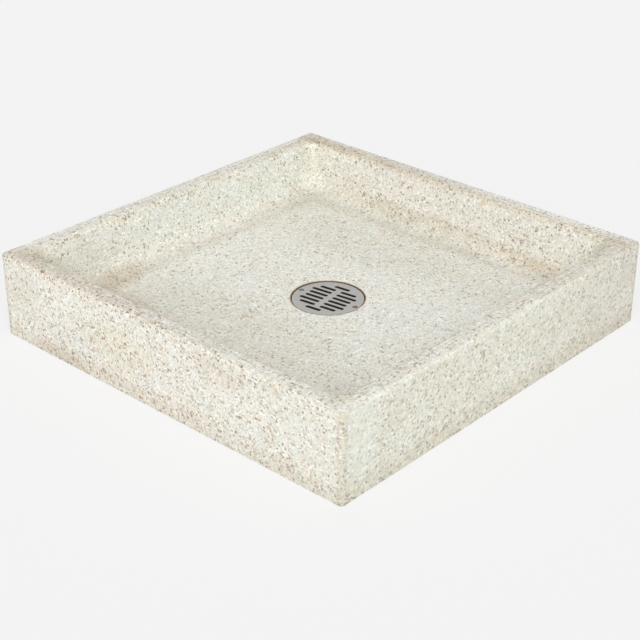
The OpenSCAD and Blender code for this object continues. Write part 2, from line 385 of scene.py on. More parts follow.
# bands are placed by section, so they run round the basin: the larger and the smaller of |x| and |y|,
# and z
bands = (
    # painted shade: the outer faces grow darker towards the bottom
    area((381, 0, 0), (40, 1500, 46), (241, 238, 235), more=0.05, patchy=0.2),
    # the outer upright corners: tan specks, and painted shade that dulls the light on their rounding
    area((381, 381, 76), (16, 16, 400), (240, 236, 231), more=0.08, patchy=0.2),
    area((364, 0, 154), (17, 3000, 6), (254, 254, 255), more=0.05),
    # painted shade along the inner edge of the mouth, with brown specks
    area((349, 0, 150), (9, 1500, 12), (250, 248, 244), more=0.06, patchy=0.3),
    # painted shade down the four inside corners
    area((336, 336, 100), (46, 46, 90), (241, 239, 230), patchy=0.1),
    # the coves: stain, and painted shade of the hollow
    area((303, 0, 68), (34, 1500, 22), (238, 236, 233), more=0.02, rubbed=0.1, patchy=0.2),
    area((150, 0, 56), (420, 3000, 16), (252, 253, 255), more=0.03, coarse=-0.2),
)
washes = (
    area((-378, 0, 150), (8, 600, 10), (253, 251, 249), more=0.1, patchy=0.4),
    area((-390, 150, 76), (20, 760, 600), (255, 255, 255), warm=1.0),
    area((-385, 95, 76), (20, 110, 60), (249, 246, 237), patchy=0.3),
    area((0, -384, 90), (1600, 14, 300), (250, 251, 247), more=0.03, rubbed=0.15),
    area((-345, -381, 108), (70, 12, 90), (256, 258, 260), more=-0.2, rubbed=0.1, patchy=0.2),
    # painted highlight: fewer dark chips along the top edge of the -Y face
    area((-100, -381, 147), (420, 8, 9), (255, 255, 255), more=-0.2, patchy=0.2),
    # painted shade: the -Y face darker towards its far end
    area((420, -381, 70), (480, 14, 150), (245, 242, 242), rubbed=0.1, patchy=0.2),
    # painted shade: the rims darker towards their far ends
    area((-365, 440, 153), (40, 600, 9), (241, 236, 231), more=0.05),
    area((440, -365, 153), (520, 40, 9), (240, 237, 233)),
    area((365, 440, 153), (40, 560, 9), (240, 236, 229), more=0.04),
    area((420, 365, 153), (400, 40, 9), (248, 245, 243)),
    # more painted shade, with brown specks, along the +X mouth edge
    area((350, 0, 151), (10, 1500, 13), (246, 242, 238), more=0.04, patchy=0.3),
    # painted shade: the inner +X wall made darker
    area((350, 80, 110), (70, 700, 60), (246, 244, 244), more=0.09, coarse=-0.15),
    area((160, 350, 110), (560, 70, 60), (248, 252, 253), more=0.05, coarse=-0.25),
    # painted shade in the back inside corner at the cove
    area((285, 285, 76), (76, 76, 36), (239, 238, 236)),
    area((-330, 330, 95), (260, 60, 70), (247, 247, 245), more=0.03, coarse=-0.3, patchy=0.1),
    # stain and painted shade in the cove at the foot of the +X wall
    area((320, 40, 80), (34, 340, 20), (238, 234, 227), more=0.08, patchy=0.35),
    # painted shade on the floor behind the near inside corner
    area((-216, -232, 60), (50, 50, 14), (247, 245, 243)),
    area((-384, -130, 126), (16, 104, 32), (246, 243, 239), patchy=0.3),
    area((-384, 240, 8), (20, 96, 28), (243, 238, 232), patchy=0.2),
    area((-384, 200, 52), (16, 120, 60), (250, 251, 252)),
    area((328, 226, 97), (26, 40, 16), (246, 243, 239)),
    # painted shade with brown stain on the floor in the far left corner
    area((-290, 218, 63), (100, 110, 30), (228, 222, 210), more=0.03, patchy=0.2),
    area((-200, 60, 60), (160, 440, 20), (246, 244, 240), patchy=0.2),
    area((230, 60, 60), (150, 500, 20), (245, 244, 241), patchy=0.2),
    # painted shade with brown stain at the foot of the +Y wall's left end
    area((-205, 300, 63), (110, 44, 24), (246, 239, 231), more=0.06, patchy=0.2),
    area((321, -208, 73), (30, 100, 17), (240, 231, 222), more=0.08, patchy=0.25),
    area((344, -75, 143), (10, 5, 9), (250, 234, 198)),
    # painted shade: a small dark spot for a pit in the rim
    area((-370, 66, 152), (4.2, 3.4, 5), (120, 114, 112)),
)
washEdge = (1.0, 0.3)  # shares of the reach where a change begins and is full


def pinholes(tree, point, recipe):
    # round spots of random radius, one to a cell at most
    size, (small, large), softness = recipe["pinholeSize"], recipe["pinholeRadius"], 0.25
    seeds = addNode(tree, "ShaderNodeTexVoronoi", {"Vector": point, "Scale": 1 / size})
    random = addNode(tree, "ShaderNodeSeparateColor", {"Color": seeds.outputs["Color"]})
    radius = times(tree, random.outputs["Red"], large - small, small)
    away = times(tree, seeds.outputs["Distance"], size)
    spot = fade(tree, calc(tree, "SUBTRACT", away, radius), softness, -softness)
    present = calc(tree, "LESS_THAN", random.outputs["Green"], recipe["pinholeShare"])
    return times(tree, spot, present)


def packedChips(tree, point, size, joint):
    # chips that fill the surface but for the joint between them, and three random values for each
    place = {"Vector": point, "Scale": 1 / size}
    cell = addNode(tree, "ShaderNodeTexVoronoi", place)
    edge = addNode(tree, "ShaderNodeTexVoronoi", place, feature="DISTANCE_TO_EDGE")
    random = addNode(tree, "ShaderNodeSeparateColor", {"Color": cell.outputs["Color"]})
    inside = fade(tree, times(tree, edge.outputs["Distance"], size), joint * 0.5, joint)
    return inside, random.outputs["Red"], random.outputs["Green"], random.outputs["Blue"]


def areaEffects(tree, point, section, breakup):
    tint, total = (255, 255, 255), {"more": 0.0, "rubbed": 0.0, "warm": 0.0, "coarse": 0.0}
    for place, areas in ((section, bands), (point, washes)):
        for one in areas:
            away = vectorCalc(tree, "DIVIDE", vectorCalc(tree, "SUBTRACT", place, one["at"]), one["reach"])
            amount = fade(tree, vectorCalc(tree, "LENGTH", away), *washEdge)
            patchy = one.get("patchy")
            if patchy:
                amount = times(tree, amount, times(tree, breakup, patchy, 1 - patchy))
            tint = blend(tree, amount, tint, one["tint"], "MULTIPLY")
            for effect in total:
                if effect in one:
                    total[effect] = times(tree, amount, one[effect], total[effect])
    return tint, total


def makeTerrazzo(name, recipe, drainSpot):
    material, tree, shader, point = newMaterial(name)
    x, y, z = separate(tree, point)
    x, y = calc(tree, "ABSOLUTE", x), calc(tree, "ABSOLUTE", y)
    across, along = calc(tree, "MAXIMUM", x, y), calc(tree, "MINIMUM", x, y)
    breakup = patches(tree, point, **recipe["stainAndShadePatches"])
    tint, effects = areaEffects(tree, point, combine(tree, across, along, z), breakup)

    # the mix: fine chips, coarse ones over them, and cement between
    joint = recipe["joint"]
    stray = noise(tree, point, recipe["raggedSize"], 1.0, output="Color")
    stray = vectorCalc(tree, "SUBTRACT", stray, (0.5, 0.5, 0.5))
    ragged = vectorCalc(tree, "ADD", point, scaled(tree, stray, 2 * recipe["ragged"]))
    fineInside, fineTone, _, fineCast = packedChips(tree, ragged, recipe["smallChip"], joint)
    shifted = vectorCalc(tree, "ADD", ragged, recipe["largeShift"])
    coarseInside, coarseTone, lot, coarseCast = packedChips(tree, shifted, recipe["largeChip"], joint)
    share = calc(tree, "ADD", effects["coarse"], recipe["largeShare"])
    placed = calc(tree, "LESS_THAN", lot, share)
    inside = between(tree, placed, times(tree, fineInside, coarseInside), coarseInside)
    cloud = noise(tree, point, recipe["cloudSize"], 3.0, 0.6)
    darker = calc(tree, "SUBTRACT", effects["more"], recipe["cloudShare"] / 2)
    darker = times(tree, cloud, recipe["cloudShare"], darker)
    tone = calc(tree, "SUBTRACT", between(tree, placed, fineTone, coarseTone), darker)
    plain, brown = ramp(tree, tone, recipe["tones"]), ramp(tree, tone, recipe["warmTones"])
    colour = blend(tree, effects["warm"], plain, brown)
    colour = blend(tree, inside, recipe["cement"], colour)

    # hue casts, wear and stain, and the areas' painted shade and light
    cool, warm = recipe["casts"]
    cast = between(tree, recipe["castPatchShare"], between(tree, placed, fineCast, coarseCast),
                   patches(tree, point, **recipe["castPatches"]))
    colour = blend(tree, 1.0, colour, blend(tree, cast, cool, warm), "MULTIPLY")
    colour = blend(tree, effects["rubbed"], colour, recipe["average"])
    blotch = patches(tree, point, **recipe["warmPatches"])
    colour = blend(tree, blotch, colour, recipe["warmth"], "MULTIPLY")
    colour = blend(tree, 1.0, colour, tint, "MULTIPLY")
    drawnOut = combine(tree, across, times(tree, along, recipe["streakSqueeze"]), z)
    streaks = patches(tree, drawnOut, **recipe["streakPatches"])
    onRim = times(tree, fade(tree, z, *recipe["streakLevels"]), streaks)
    colour = blend(tree, onRim, colour, recipe["streak"], "MULTIPLY")
    away = vectorCalc(tree, "LENGTH", vectorCalc(tree, "SUBTRACT", point, drainSpot))
    ring = times(tree, fade(tree, away, drainStain["to"], drainStain["from"]), breakup)
    colour = blend(tree, ring, colour, drainStain["tint"], "MULTIPLY")
    hole = pinholes(tree, point, recipe)
    colour = blend(tree, times(tree, hole, recipe["pinholeDark"]), colour, recipe["pinholeTone"])

    honed, cementRough = recipe["roughness"]
    coat(tree, shader, colour, times(tree, inside, honed - cementRough, cementRough))
    height = times(tree, inside, recipe["chipHeight"])
    height = times(tree, noise(tree, point, recipe["grainSize"]), recipe["grainHeight"], height)
    height = times(tree, hole, recipe["pinholeHeight"], height)
    relief(tree, shader, height, recipe["reliefDepth"], recipe["reliefStrength"])
    return material


metals = {
    "screwSteel": {"clean": (156, 145, 142), "stain": (104, 92, 90), "stainShare": 0.6,
                   "roughness": 0.45, "grainSize": 1.2, "grainDepth": 0.05},
    "tarnishedBrass": {"clean": (196, 161, 124), "stain": (116, 86, 68), "stainShare": 0.45,
                       "roughness": 0.5, "grainSize": 1.6, "grainDepth": 0.12},
    "machinedBrass": {"clean": (196, 160, 98), "stain": (128, 98, 60), "stainShare": 0.35,
                      "roughness": 0.36, "grainSize": 0.9, "grainDepth": 0.05},
    "dullZinc": {"clean": (158, 162, 164), "stain": (120, 122, 122), "stainShare": 0.5,
                 "roughness": 0.5, "grainSize": 2.4, "grainDepth": 0.1},
}
metalWear = {
    "patchSize": 14.0,
    "stainEdge": 0.25,  # how softly stain begins
    "stainRough": 0.15,  # what stain adds to the roughness
    "grainDark": 0.35,
    "grainRough": 0.12,
}
# dirt, and painted shade that keeps the drain's inside dark through the slots
drainDirtAndShade = {
    "depth": 2.6,  # below the drain's rim, where dirt and painted shade take over from bare metal
    "edge": 0.6,
    "spread": (0.05, 0.4),
    "cover": 0.97,
    "tones": ((20, 10, 5), (64, 28, 13)),
    "mottle": (0.35, 0.7),
}


def makeMetal(name, dirtAndShadeBelow=None):
    # metal with a fine grain, stained in patches, and below a level darkened by dirt and painted shade
    finish, wear = metals[name], metalWear
    clean, stain = finish["clean"], finish["stain"]
    material, tree, shader, point = newMaterial(name)
    shader.inputs["Metallic"].default_value = 1.0
    mottle = noise(tree, point, wear["patchSize"], 4.0, 0.6)
    full = 1.0 - finish["stainShare"] / 2
    stained = fade(tree, mottle, full - wear["stainEdge"], full)
    grain = noise(tree, point, finish["grainSize"], 3.0, 0.6)
    colour = blend(tree, stained, clean, stain)
    colour = blend(tree, times(tree, grain, wear["grainDark"]), colour, stain)
    if dirtAndShadeBelow:
        dirtiedAndShaded = fade(tree, separate(tree, point)[2], dirtAndShadeBelow + drainDirtAndShade["edge"], dirtAndShadeBelow - drainDirtAndShade["edge"])
        dirtiedAndShaded = times(tree, dirtiedAndShaded, fade(tree, mottle, *drainDirtAndShade["spread"]))
        dark, rusty = drainDirtAndShade["tones"]
        tone = blend(tree, fade(tree, mottle, *drainDirtAndShade["mottle"]), dark, rusty)
        colour = blend(tree, times(tree, dirtiedAndShaded, drainDirtAndShade["cover"]), colour, tone)
        tree.links.new(calc(tree, "SUBTRACT", 1.0, dirtiedAndShaded), shader.inputs["Metallic"])
    rough = times(tree, grain, wear["grainRough"], finish["roughness"] - wear["grainRough"] / 2)
    rough = times(tree, stained, wear["stainRough"], rough)
    coat(tree, shader, colour, rough)
    relief(tree, shader, grain, finish["grainDepth"])
    return material


plateFinish = {
    "tones": ((180, 180, 176), (193, 193, 192)),  # off and on the smudges
    "smudgeSize": 16.0,
    "smudgeRough": 0.12,
    "fineRing": 0.45,  # spacing of the turning marks
    "broadRing": 3.0,
    "ringTone": (170, 168, 166),
    "ringDark": 0.25,
    "ringRough": 0.12,
    "ringDepth": 0.03,
    "roughness": 0.3,
    "slotShadeAndDirt": (34, 15, 7),  # painted shade and dirt inside the slots
    "shadeAndDirtFrom": 0.14,  # below the top face
    "shadeAndDirtFull": 0.65,
    "shadeAndDirtCover": 0.97,
    "shadeAndDirtRough": 0.6,
}


def makeTurnedSteel(name, finish, centre, top):
    # satin plate with faint turning marks round the drain's middle, and dirt with painted shade below its top
    # face, in the slots
    material, tree, shader, point = newMaterial(name)
    x, y, z = separate(tree, vectorCalc(tree, "SUBTRACT", point, centre))
    squares = calc(tree, "ADD", times(tree, x, x), times(tree, y, y))
    outwards = combine(tree, calc(tree, "SQRT", squares), 0.0, 0.0)
    rings = noise(tree, outwards, finish["fineRing"], 3.0, 0.7)
    broadRings = noise(tree, outwards, finish["broadRing"])
    smudge = noise(tree, point, finish["smudgeSize"], 4.0, 0.6)
    bare, smudged = finish["tones"]
    colour = blend(tree, smudge, bare, smudged)
    colour = blend(tree, times(tree, broadRings, finish["ringDark"]), colour, finish["ringTone"])
    slotShadeAndDirt = fade(tree, z, top - finish["shadeAndDirtFrom"], top - finish["shadeAndDirtFull"])
    colour = blend(tree, times(tree, slotShadeAndDirt, finish["shadeAndDirtCover"]), colour, finish["slotShadeAndDirt"])
    tree.links.new(calc(tree, "SUBTRACT", 1.0, slotShadeAndDirt), shader.inputs["Metallic"])
    rough = times(tree, smudge, finish["smudgeRough"], finish["roughness"])
    rough = times(tree, rings, finish["ringRough"], rough)
    rough = times(tree, slotShadeAndDirt, finish["shadeAndDirtRough"], rough)
    coat(tree, shader, colour, rough)
    relief(tree, shader, rings, finish["ringDepth"])
    return material


rubberFinish = {
    "tones": ((36, 37, 38), (58, 58, 57)),  # clean, and bloomed grey
    "bloomSize": 9.0,
    "bloomSpan": (0.4, 0.8),
    "bloomRough": 0.25,
    "roughness": 0.5,
    "grainSize": 0.6,
    "grainDepth": 0.05,
}


def makeRubber(name, finish):
    material, tree, shader, point = newMaterial(name)
    bloom = noise(tree, point, finish["bloomSize"], 4.0, 0.6)
    clean, grey = finish["tones"]
    colour = blend(tree, fade(tree, bloom, *finish["bloomSpan"]), clean, grey)
    rough = times(tree, bloom, finish["bloomRough"], finish["roughness"])
    coat(tree, shader, colour, rough)
    relief(tree, shader, noise(tree, point, finish["grainSize"]), finish["grainDepth"])
    return material


def cadCorners(node):
    # lowest and highest corners of a CAD node at rest
    return [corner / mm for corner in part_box(node)]


basinHigh = cadCorners("terrazzo_basin")[1]
gasketLow, gasketHigh = cadCorners("pipe_gasket")
strainerLow, strainerHigh = cadCorners("strainer")
drain = {
    "x": (gasketLow.x + gasketHigh.x) / 2,
    "y": (gasketLow.y + gasketHigh.y) / 2,
    "level": cadCorners("drain_body")[1].z,
    "turn": 7.5,  # degrees about the upright axis
    "rim": 65.0,  # outside radius at the floor
}

basin = {
    "half": basinHigh.x,
    "height": basinHigh.z,
    "curb": 34.0,  # thickness at the rim
    "draft": 27.0,  # how much thicker the curb is at the floor
    "cornerRim": 28.0,  # inside corner radius at the rim and at the foot
    "cornerFoot": 46.0,
    "cove": 32.0,
    "rimEdge": 6.0,
    "outerCorner": 7.0,
    "arris": 1.5,  # bottom edge
    "foot": 60.2,  # height of the floor at the cove
    "land": 1.5,  # flat round the drain
    "lip": 0.3,  # eased edge where the floor turns down beside the drain
    "gap": 0.05,
    "socket": 53.85,  # drain body radii below the floor
    "flange": 73.85,
    "flangeLevels": (14.0, 18.0),
    "flareLevels": (28.395, 36.2),
    "steps": {"underside": 14, "arris": 3, "side": 20, "rimEdge": 8, "rim": 4, "mouth": 8, "wall": 8,
              "cove": 10, "floor": 26},
    "sideSteps": 96,
    "cornerSteps": 10,
    "waviness": 0.3,  # how far the cast faces wander
    "broadWaves": 9.0,  # to a metre
    "fineWaves": 60.0,
    "seed": 3.7,
}


def basinRows(size, drain):
    # the basin's section as rows of: half-width, height, corner radius, hole radius, roundness
    half, top, foot = size["half"], size["height"], size["foot"]
    edge, arris, cove, gap = size["rimEdge"], size["arris"], size["cove"], size["gap"]
    outer = size["outerCorner"]
    footHalf = half - size["curb"] - size["draft"]
    slope = math.atan2(size["draft"], top - foot)
    hole, socket, flange = drain["rim"] + gap, size["socket"] + gap, size["flange"] + gap
    rows = []

    def wall(z):
        return footHalf + size["draft"] * (z - foot) / (top - foot)

    def corner(z):
        return size["cornerFoot"] + (size["cornerRim"] - size["cornerFoot"]) * (z - foot) / (top - foot)

    def along(stretch, first=1):
        # how far along a stretch of the section its rows lie, up to 1
        count = size["steps"][stretch]
        return [i / count for i in range(first, count + 1)]

    def row(out, z, bend, hole=0.0, roundness=0.0):
        rows.append((out, z, bend, hole, roundness))

    for t in along("underside", 0):  # from the hole outwards
        row(half - arris, 0.0, outer - arris, socket, 1 - t)
    for t in along("arris"):
        back = arris * (1 - math.sin(t * rightAngle))
        row(half - back, arris * (1 - math.cos(t * rightAngle)), outer - back)
    for t in along("side"):
        row(half, arris + (top - edge - arris) * t, outer)
    for t in along("rimEdge"):
        back = edge * (1 - math.cos(t * rightAngle))
        row(half - back, top - edge * (1 - math.sin(t * rightAngle)), outer - back)
    rimOuter, rimInner = half - edge, wall(top) + edge
    for t in along("rim"):
        cornerNow = (outer - edge) * (1 - t) + (corner(top) + edge) * t
        row(rimOuter + (rimInner - rimOuter) * t, top, cornerNow)
    for t in along("mouth"):
        angle = (1 - t) * rightAngle
        z = top - edge * (1 - math.sin(angle))
        grow = edge * (1 - math.cos(angle))
        row(wall(z) + grow, z, corner(z) + grow)
    coveTop = foot + cove * (1 - math.sin(slope))
    for t in along("wall"):
        z = top - edge + (coveTop - top + edge) * t
        row(wall(z), z, corner(z))
    coveCentre = footHalf - cove * math.tan((rightAngle - slope) / 2)
    for t in along("cove"):
        angle = slope + (rightAngle - slope) * t
        z = foot + cove * (1 - math.sin(angle))
        row(coveCentre + cove * math.cos(angle), z, corner(z))
    for t in along("floor"):
        z = foot + (drain["level"] - foot) * t
        row(coveCentre, z, corner(foot), hole + size["land"], t)
    low, high = size["flangeLevels"]
    flareLow, flareHigh = size["flareLevels"]
    drainWall = [(hole + size["lip"], drain["level"]), (hole, drain["level"] - size["lip"]),
                 (hole, flareHigh), (socket, flareLow), (socket, high + gap), (flange, high + gap),
                 (flange, low - gap), (socket, low - gap)]
    for radius, z in drainWall:
        row(coveCentre, z, corner(foot), radius, 1.0)
    return rows


def makeSweepTree():
    # sweeps a section round a square whose corners and hole vary from row to row
    tree, given = newTree(
        "Square sweep", Int=("Side Steps", "Corner Steps"),
        Float=("Hole X", "Hole Y", "Waviness", "Broad Waves", "Fine Waves", "Seed"))
    side, turnSteps = given["Side Steps"], given["Corner Steps"]
    quarterSteps = calc(tree, "ADD", side, turnSteps)
    ring = addNode(tree, "GeometryNodeMeshCircle", {"Vertices": times(tree, quarterSteps, 4.0)})
    index = addNode(tree, "GeometryNodeInputIndex").outputs["Index"]
    quarter = calc(tree, "FLOOR", calc(tree, "DIVIDE", calc(tree, "ADD", index, 0.5), quarterSteps))
    step = calc(tree, "SUBTRACT", index, times(tree, quarter, quarterSteps))
    bend = calc(tree, "MINIMUM", calc(tree, "DIVIDE", step, turnSteps), 1.0)
    run = calc(tree, "MAXIMUM", calc(tree, "DIVIDE", calc(tree, "SUBTRACT", step, turnSteps), side), 0.0)
    start = times(tree, quarter, rightAngle)
    cornerHere = heading(tree, calc(tree, "ADD", start, rightAngle / 2), math.sqrt(2))
    cornerNext = heading(tree, calc(tree, "ADD", start, rightAngle * 1.5), math.sqrt(2))
    core = mixVectors(tree, run, cornerHere, cornerNext)
    outward = heading(tree, times(tree, bend, rightAngle, start), 1.0)
    loop = store(tree, ring.outputs["Mesh"], "ringCore", core, "FLOAT_VECTOR")
    loop = store(tree, loop, "ringNormal", outward, "FLOAT_VECTOR")
    swept = sweep(tree, loop, given["Geometry"])

    # each row's place on a square with round corners, and on the round hole
    core, outward = named(tree, "ringCore", "FLOAT_VECTOR"), named(tree, "ringNormal", "FLOAT_VECTOR")
    corner, half = named(tree, "corner"), named(tree, "half")
    square = scaled(tree, core, calc(tree, "SUBTRACT", half, corner))
    square = vectorCalc(tree, "ADD", square, scaled(tree, outward, corner))
    lean = 0.1  # spreads the rows at a corner over the hole too
    toward = vectorCalc(tree, "ADD", core, scaled(tree, outward, lean))
    toward = vectorCalc(tree, "NORMALIZE", toward)
    middle = combine(tree, given["Hole X"], given["Hole Y"], 0.0)
    circle = vectorCalc(tree, "ADD", middle, scaled(tree, toward, named(tree, "hole")))
    flat = mixVectors(tree, named(tree, "round"), square, circle)
    lifted = vectorCalc(tree, "ADD", flat, combine(tree, 0.0, 0.0, named(tree, "height")))
    placed = moved(tree, swept, Position=scaled(tree, lifted, mm))

    # cast faces wander a little, always into the block
    broadShare = 0.7
    where = vectorCalc(tree, "ADD", addNode(tree, "GeometryNodeInputPosition").outputs["Position"],
                       combine(tree, given["Seed"], 0.0, 0.0))
    depth = 0.0
    for waves, share in (("Fine Waves", 1 - broadShare), ("Broad Waves", broadShare)):
        values = {"Vector": where, "Scale": given[waves], "Detail": 1.0}
        depth = times(tree, addNode(tree, "ShaderNodeTexNoise", values).outputs["Fac"], share, depth)
    depth = times(tree, depth, times(tree, given["Waviness"], -mm))
    normal = addNode(tree, "GeometryNodeInputNormal").outputs["Normal"]
    return endTree(tree, given, moved(tree, placed, Offset=scaled(tree, normal, depth)))


def makeBasin(size, drain, material):
    # run backwards, the section gives faces that look outwards
    rows = basinRows(size, drain)[::-1]
    mesh = outlineMesh("basinSection", rows, ("half", "height", "corner", "hole", "round"), closed=True)
    values = {"Side Steps": size["sideSteps"], "Corner Steps": size["cornerSteps"],
              "Hole X": drain["x"], "Hole Y": drain["y"], "Waviness": size["waviness"],
              "Broad Waves": size["broadWaves"], "Fine Waves": size["fineWaves"],
              "Seed": size["seed"], "Material": material}
    return growPiece("terrazzoBasin", mesh, makeSweepTree(), values)


strainer = {
    "radius": (strainerHigh.x - strainerLow.x) / 2 + 0.2,
    "top": strainerHigh.z,
    "thick": strainerHigh.z - strainerLow.z,
    "rows": 3,  # of paired slots on each side of the middle
    "pitch": 12.6,
    "slotWidth": 7.2,
    "bar": 10.4,  # between the two slots of a pair
    "slotCircle": 49.2,  # where the slots end
    "middleReach": 42.0,  # where the slots beside the screws end
    "endSlot": 30.8,  # length of the single slots
    "screwCircle": 55.5,
    "screwHole": 2.8,
    "sink": 4.85,  # radius of the countersink
    "edge": 0.16,
    "plateSides": 192,
    "slotSides": 36,
    "holeSides": 48,
}


def slotPoints(size):
    # middle of each slot, half its straight length, and 0; then the two screw holes, marked 1
    points = []
    halfWidth, halfBar = size["slotWidth"] / 2, size["bar"] / 2
    for i in range(size["rows"]):
        x = (i + 0.5) * size["pitch"]
        reach = size["middleReach"]
        if i:
            reach = math.sqrt((size["slotCircle"] - halfWidth) ** 2 - x * x) + halfWidth
        for sideX in (-1, 1):
            for sideY in (-1, 1):
                middle = (reach + halfBar) / 2
                points.append((sideX * x, sideY * middle, (reach - halfBar) / 2 - halfWidth, 0))
    for sideX in (-1, 1):
        points.append((sideX * (size["rows"] + 0.5) * size["pitch"], 0, size["endSlot"] / 2 - halfWidth, 0))
    for sideY in (-1, 1):
        points.append((0, sideY * size["screwCircle"], 0, 1))
    return points


def atPoints(tree, points, tool, chosen):
    values = {"Points": points, "Instance": tool, "Selection": chosen}
    copies = addNode(tree, "GeometryNodeInstanceOnPoints", values).outputs["Instances"]
    return addNode(tree, "GeometryNodeRealizeInstances", {"Geometry": copies}).outputs["Geometry"]


def makePlateTree():
    # a round plate, pierced at the points that come in: slots where screwHole is 0, and
    # countersinks where it is 1
    tree, given = newTree(
        "Pierced plate", Int=("Plate Sides", "Slot Sides", "Hole Sides"), Vector=("Centre",),
        Float=("Radius", "Thickness", "Slot Width", "Hole Radius", "Sink Radius", "Turn"))
    cutDepth, sinkPast = 3.0, 1.4  # how far cutters run past the plate and the countersink
    thick, points = given["Thickness"], given["Geometry"]
    deep = times(tree, thick, cutDepth)
    isHole = addNode(tree, "FunctionNodeCompare", {"A": named(tree, "screwHole"), "B": 0.5},
                     operation="GREATER_THAN").outputs["Result"]
    isSlot = addNode(tree, "FunctionNodeBooleanMath", {"Boolean": isHole}, operation="NOT").outputs["Boolean"]

    def cylinder(sides, radius, depth):
        values = {"Vertices": given[sides], "Radius": radius, "Depth": depth}
        return addNode(tree, "GeometryNodeMeshCylinder", values).outputs["Mesh"]

    # the two halves of a cutter move apart, which draws it out into a slot
    slot = cylinder("Slot Sides", times(tree, given["Slot Width"], 0.5), deep)
    place = addNode(tree, "GeometryNodeInputPosition").outputs["Position"]
    slot = store(tree, slot, "slotSide", calc(tree, "SIGN", separate(tree, place)[1]))
    slots = atPoints(tree, points, slot, isSlot)
    stretch = times(tree, named(tree, "slotSide"), named(tree, "reach"))
    slots = moved(tree, slots, Offset=combine(tree, 0.0, stretch, 0.0))

    bores = atPoints(tree, points, cylinder("Hole Sides", given["Hole Radius"], deep), isHole)
    sinkSize = times(tree, given["Sink Radius"], sinkPast)
    cone = addNode(tree, "GeometryNodeMeshCone", {
        "Vertices": given["Hole Sides"], "Radius Top": sinkSize, "Radius Bottom": 0.0, "Depth": sinkSize})
    drop = calc(tree, "SUBTRACT", times(tree, thick, 0.5), given["Sink Radius"])
    sunk = addNode(tree, "GeometryNodeTransform", {
        "Geometry": cone.outputs["Mesh"], "Translation": combine(tree, 0.0, 0.0, drop)})
    sinks = atPoints(tree, points, sunk.outputs["Geometry"], isHole)

    cut = addNode(tree, "GeometryNodeMeshBoolean", operation="DIFFERENCE", solver="EXACT")
    tree.links.new(cylinder("Plate Sides", given["Radius"], thick), cut.inputs["Mesh 1"])
    for cutter in (slots, bores, sinks):
        tree.links.new(cutter, cut.inputs["Mesh 2"])
    turned = addNode(tree, "GeometryNodeTransform", {
        "Geometry": cut.outputs["Mesh"], "Translation": given["Centre"],
        "Rotation": combine(tree, 0.0, 0.0, given["Turn"])})
    return endTree(tree, given, turned.outputs["Geometry"])


def makeStrainer(size, drain, material):
    points = slotPoints(size)
    mesh = bpy.data.meshes.new("slotPoints")
    mesh.from_pydata([(x * mm, y * mm, 0) for x, y, reach, hole in points], [], [])
    addLayer(mesh, "reach", [reach * mm for x, y, reach, hole in points])
    addLayer(mesh, "screwHole", [float(hole) for x, y, reach, hole in points])
    middle = Vector((drain["x"], drain["y"], size["top"] - size["thick"] / 2))
    values = {"Radius": size["radius"] * mm, "Thickness": size["thick"] * mm,
              "Slot Width": size["slotWidth"] * mm, "Hole Radius": size["screwHole"] * mm,
              "Sink Radius": size["sink"] * mm, "Plate Sides": size["plateSides"],
              "Slot Sides": size["slotSides"], "Hole Sides": size["holeSides"],
              "Centre": middle * mm, "Turn": math.radians(drain["turn"]), "Material": material}
    piece = growPiece("strainerPlate", mesh, makePlateTree(), values)
    easedEdges(piece, size["edge"])
    return piece


screw = {
    "radius": 2.5,
    "head": 4.8,  # radius
    "headEdge": 0.15,  # eased rim of the head: inwards, and up and down
    "headBand": 0.1,
    "length": 12.0,
    "tip": 0.5,  # chamfer
    "pitch": 0.8,
    "threadDepth": 0.42,
    "threadStop": 0.1,  # below the head
    "runOut": 0.6,  # over which the thread dies away below the head
    "rowsPerTurn": 8,
    "sides": 40,
    "slotWidth": 1.3,
    "slotDepth": 1.2,
    "slotTurn": 35.0,  # degrees from the line between the screws
}


def makeTurnTree():
    # turns a section about an upright axis; rows marked thread carry a helical thread
    tree, given = newTree("Turned piece", Int=("Sides",), Vector=("Centre",), Float=("Pitch", "Thread Depth"))
    ring = addNode(tree, "GeometryNodeMeshCircle", {"Vertices": given["Sides"]})
    index = addNode(tree, "GeometryNodeInputIndex").outputs["Index"]
    loop = store(tree, ring.outputs["Mesh"], "angle", calc(tree, "DIVIDE", index, given["Sides"]))
    swept = sweep(tree, loop, given["Geometry"])
    level, turn = named(tree, "level"), named(tree, "angle")
    phase = calc(tree, "FRACT", calc(tree, "SUBTRACT", calc(tree, "DIVIDE", level, given["Pitch"]), turn))
    groove = calc(tree, "ABSOLUTE", times(tree, phase, 2.0, -1.0))
    cut = times(tree, times(tree, groove, named(tree, "thread")), given["Thread Depth"])
    radius = calc(tree, "SUBTRACT", named(tree, "turned"), cut)
    angle = times(tree, turn, 2 * math.pi)
    local = vectorCalc(tree, "ADD", heading(tree, angle, radius), combine(tree, 0.0, 0.0, level))
    position = vectorCalc(tree, "ADD", scaled(tree, local, mm), given["Centre"])
    weld = {"Geometry": moved(tree, swept, Position=position), "Distance": 0.001 * mm}
    welded = addNode(tree, "GeometryNodeMergeByDistance", weld)
    return endTree(tree, given, welded.outputs["Geometry"])


turnTree = makeTurnTree()


